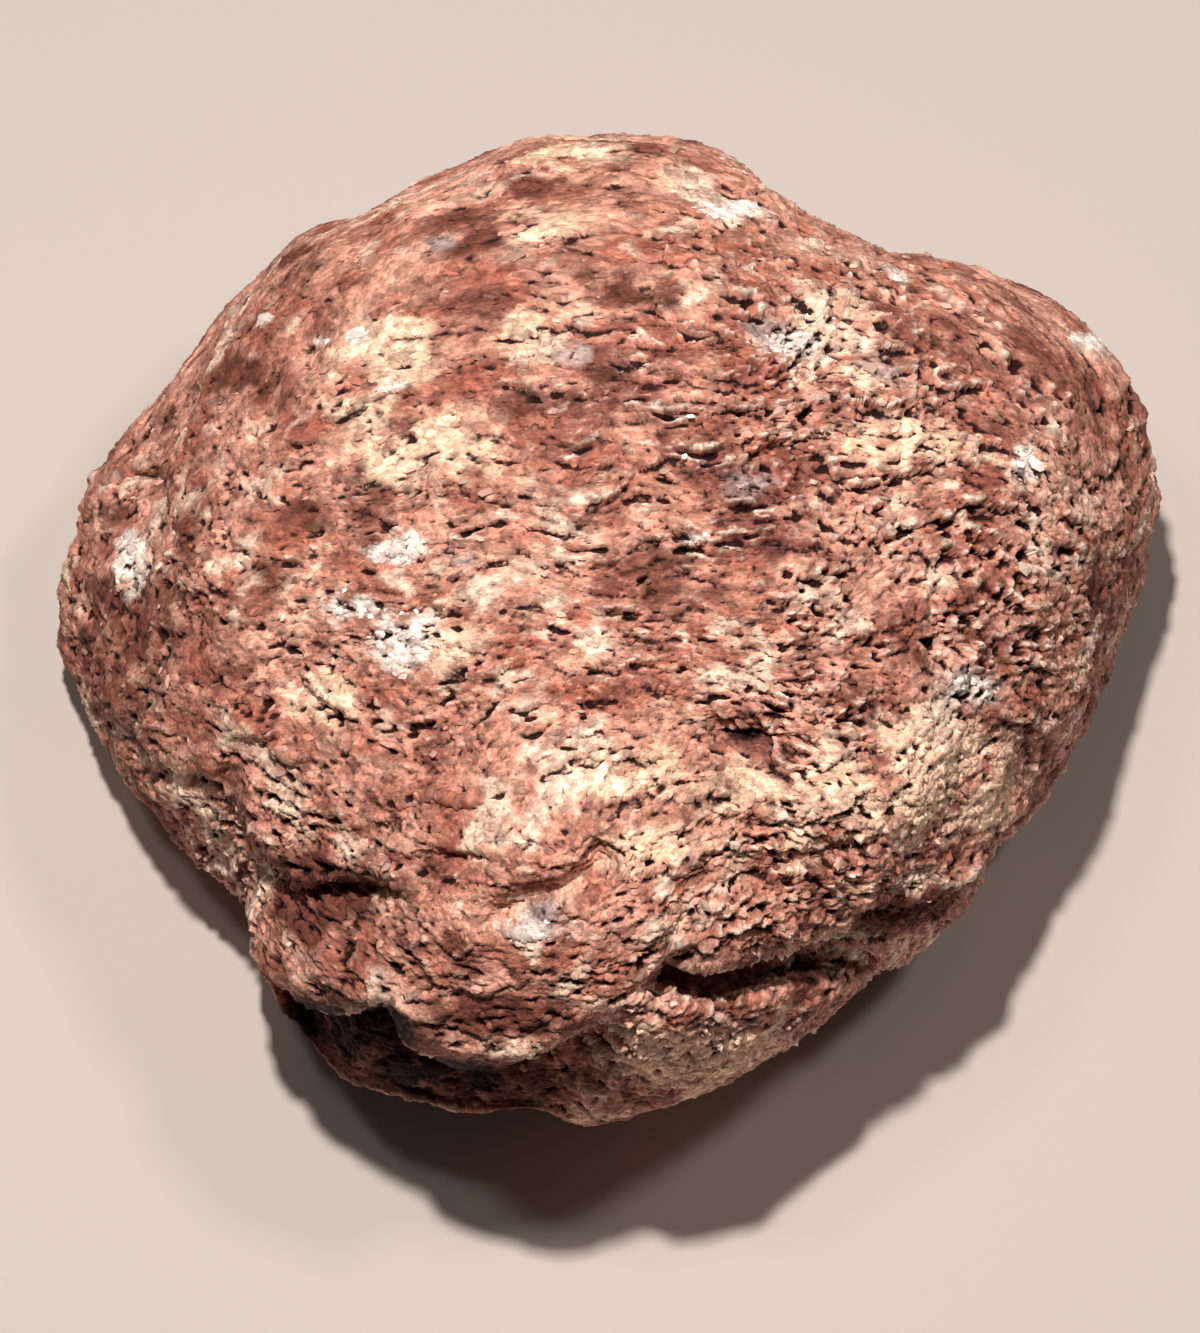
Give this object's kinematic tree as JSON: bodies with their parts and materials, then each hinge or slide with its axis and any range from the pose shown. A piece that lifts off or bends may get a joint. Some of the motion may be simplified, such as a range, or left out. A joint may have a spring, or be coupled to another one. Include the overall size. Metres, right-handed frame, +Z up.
{
  "type": "rough amethyst stone",
  "caption": "Rough, lumpy hand-sized stone of rust-stained granular quartz with ledges, a cleft and pits, lying on a small flat spot.",
  "frame": {"origin": "middle of the box at the level of the flat spot the stone rests on", "axes": "+Z up, +X to the right of the show face, -Y the way the show face is turned forward"},
  "size_m": [0.1236, 0.119, 0.0666],
  "materials": {
    "crust": "rough natural stone: dull pinkish brown iron-stained quartz grains with cream and ochre patches and dark red pits, no polish"
  },
  "bodies": {
    "root": {"stone": "crust"}
  },
  "joints": []
}
